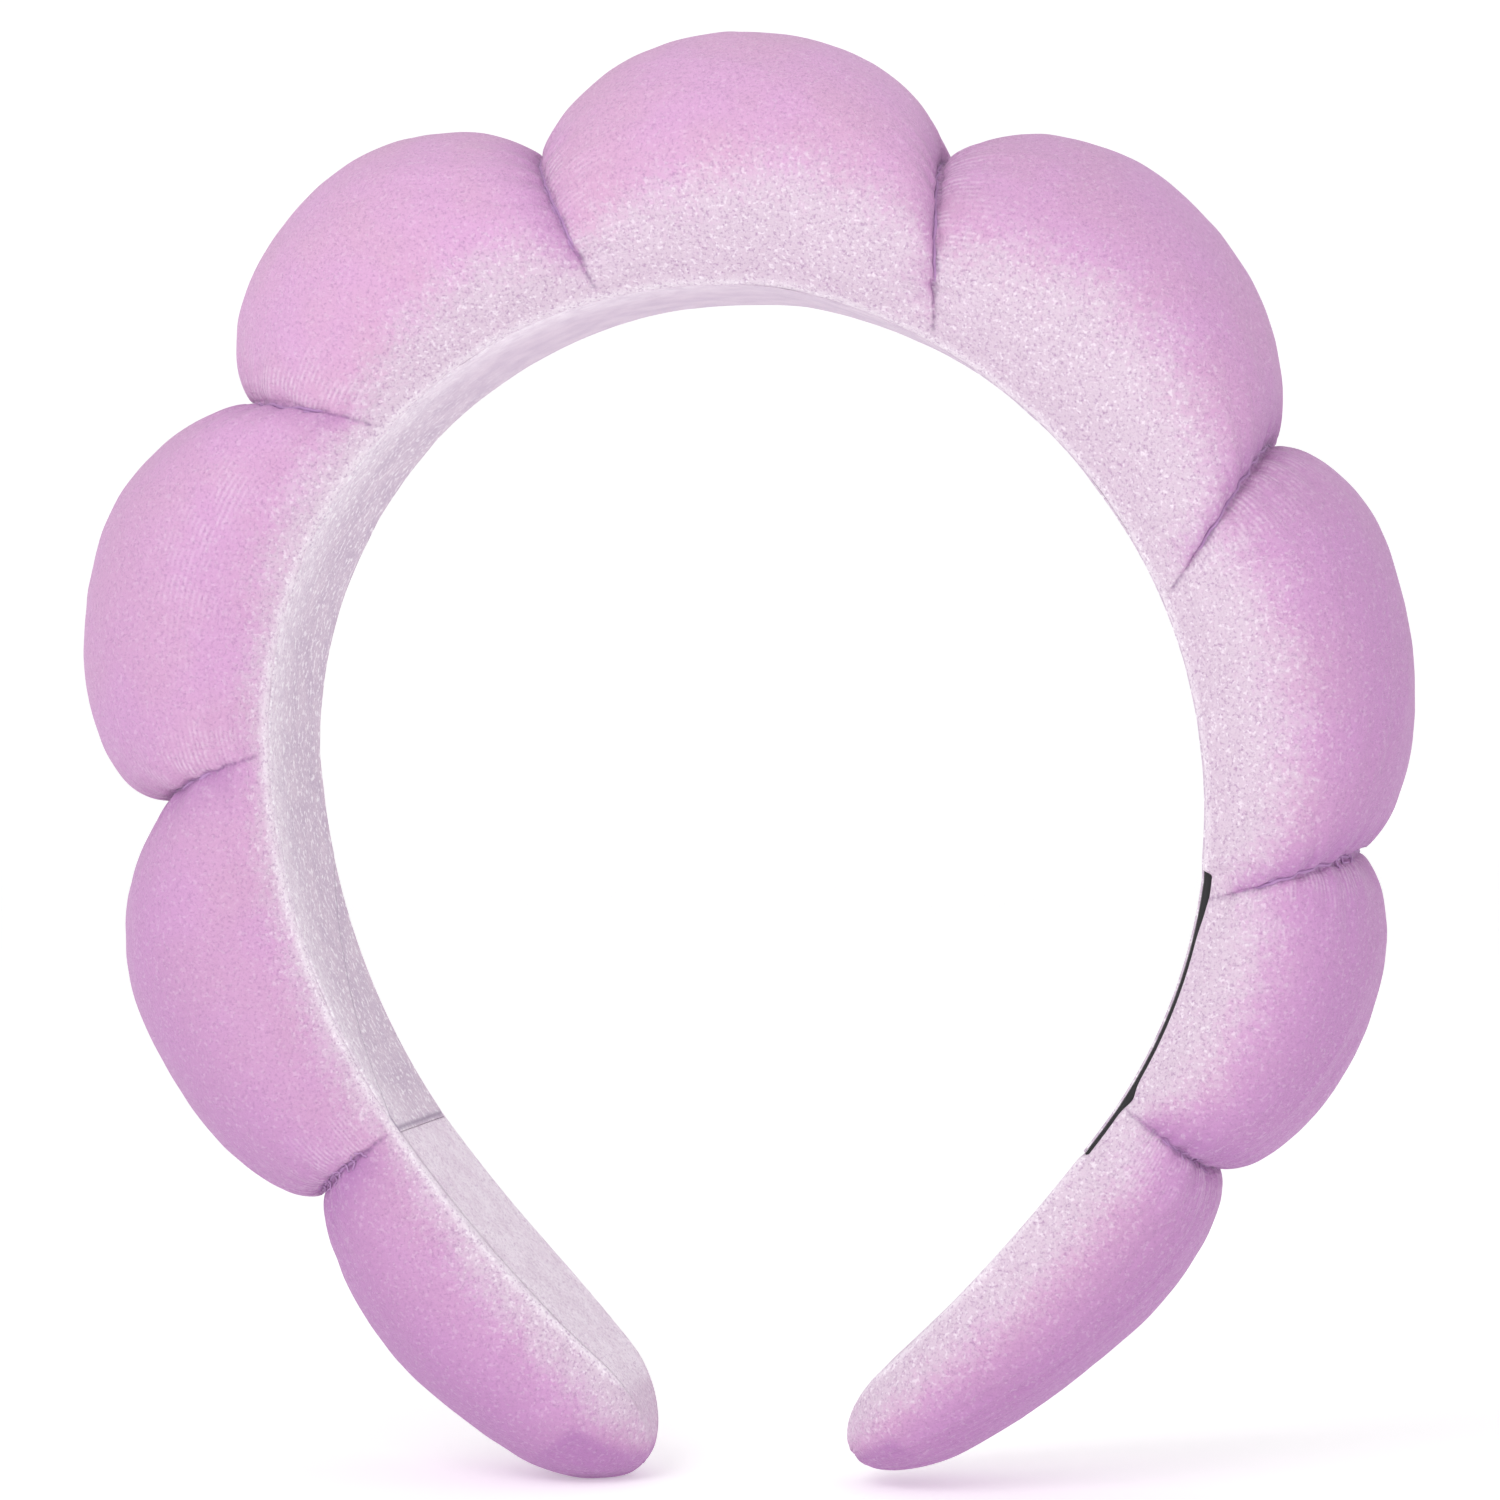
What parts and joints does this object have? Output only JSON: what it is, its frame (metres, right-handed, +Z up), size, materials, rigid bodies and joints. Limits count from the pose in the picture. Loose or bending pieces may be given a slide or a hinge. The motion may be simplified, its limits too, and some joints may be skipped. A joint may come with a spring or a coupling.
{
  "type": "spa headband",
  "caption": "Open-bottomed padded headband: a springy inner band with a soft lining, carrying a velvet-covered sponge roll pinched into puffy lobes that taper to rounded tips.",
  "frame": {"origin": "middle of the flat face of the lining at the crown, where the headband rests on the head", "axes": "+Z up through the crown, away from the head; +X to the right as seen from the front; the front faces -Y"},
  "size_m": [0.1916, 0.0458, 0.2068],
  "materials": {
    "velvet": "soft lilac knitted velvet with a pale sheen",
    "sponge": "open-cell polyurethane sponge",
    "black_plastic": "satin black plastic",
    "lining": "smooth pale lilac short-pile cloth",
    "thread": "twisted polyester thread"
  },
  "bodies": {
    "crown": {"sleeve_crown": "velvet", "sponge_crown": "sponge", "band_crown": "black_plastic", "lining_crown": "lining", "tie_left_1": "thread", "tie_right_1": "thread"},
    "left_1": {"sleeve_left_1": "velvet", "sponge_left_1": "sponge", "band_left_1": "black_plastic", "lining_left_1": "lining", "tie_left_2": "thread"},
    "left_2": {"sleeve_left_2": "velvet", "sponge_left_2": "sponge", "band_left_2": "black_plastic", "lining_left_2": "lining", "tie_left_3": "thread"},
    "left_3": {"sleeve_left_3": "velvet", "sponge_left_3": "sponge", "band_left_3": "black_plastic", "lining_left_3": "lining", "tie_left_4": "thread"},
    "left_tip": {"sleeve_left_tip": "velvet", "sponge_left_tip": "sponge"},
    "right_1": {"sleeve_right_1": "velvet", "sponge_right_1": "sponge", "band_right_1": "black_plastic", "lining_right_1": "lining", "tie_right_2": "thread"},
    "right_2": {"sleeve_right_2": "velvet", "sponge_right_2": "sponge", "band_right_2": "black_plastic", "lining_right_2": "lining", "tie_right_3": "thread"},
    "right_3": {"sleeve_right_3": "velvet", "sponge_right_3": "sponge", "band_right_3": "black_plastic", "lining_right_3": "lining", "tie_right_4": "thread"},
    "right_tip": {"sleeve_right_tip": "velvet", "sponge_right_tip": "sponge", "band_right_tip": "black_plastic", "lining_right_tip": "lining"}
  },
  "joints": [
    {"name": "flex_left_1", "type": "hinge", "parent": "crown", "child": "left_1", "pos_m": [-0.01721, 0, -0.00032], "axis": [0, 1, 0], "range_deg": [-2, 8], "stiffness_Nm_per_rad": 2.5},
    {"name": "flex_left_2", "type": "hinge", "parent": "left_1", "child": "left_2", "pos_m": [-0.0487, 0, -0.01851], "axis": [0, 1, 0], "range_deg": [-1.8, 7], "stiffness_Nm_per_rad": 2.5},
    {"name": "flex_left_3", "type": "hinge", "parent": "left_2", "child": "left_3", "pos_m": [-0.06647, 0, -0.06509], "axis": [0, 1, 0], "range_deg": [-1.2, 4.2], "stiffness_Nm_per_rad": 2.5},
    {"name": "flex_left_4", "type": "hinge", "parent": "left_3", "child": "left_tip", "pos_m": [-0.04759, 0, -0.11897], "axis": [0, 1, 0], "range_deg": [-0.7, 2.2], "stiffness_Nm_per_rad": 1.5},
    {"name": "flex_right_1", "type": "hinge", "parent": "crown", "child": "right_1", "pos_m": [0.03055, 0, -0.00727], "axis": [0, -1, 0], "range_deg": [-2, 8], "stiffness_Nm_per_rad": 2.5},
    {"name": "flex_right_2", "type": "hinge", "parent": "right_1", "child": "right_2", "pos_m": [0.06289, 0, -0.04368], "axis": [0, -1, 0], "range_deg": [-1.8, 7], "stiffness_Nm_per_rad": 2.5},
    {"name": "flex_right_3", "type": "hinge", "parent": "right_2", "child": "right_3", "pos_m": [0.06771, 0, -0.08568], "axis": [0, -1, 0], "range_deg": [-1.2, 4.2], "stiffness_Nm_per_rad": 2.5},
    {"name": "flex_right_4", "type": "hinge", "parent": "right_3", "child": "right_tip", "pos_m": [0.05665, 0, -0.114], "axis": [0, -1, 0], "range_deg": [-0.7, 2.2], "stiffness_Nm_per_rad": 1.5}
  ],
  "couplings": [
    {"joint": "flex_left_2", "follows": "flex_left_1", "ratio": 0.85},
    {"joint": "flex_left_3", "follows": "flex_left_1", "ratio": 0.5},
    {"joint": "flex_left_4", "follows": "flex_left_1", "ratio": 0.25},
    {"joint": "flex_right_2", "follows": "flex_right_1", "ratio": 0.85},
    {"joint": "flex_right_3", "follows": "flex_right_1", "ratio": 0.5},
    {"joint": "flex_right_4", "follows": "flex_right_1", "ratio": 0.25}
  ]
}
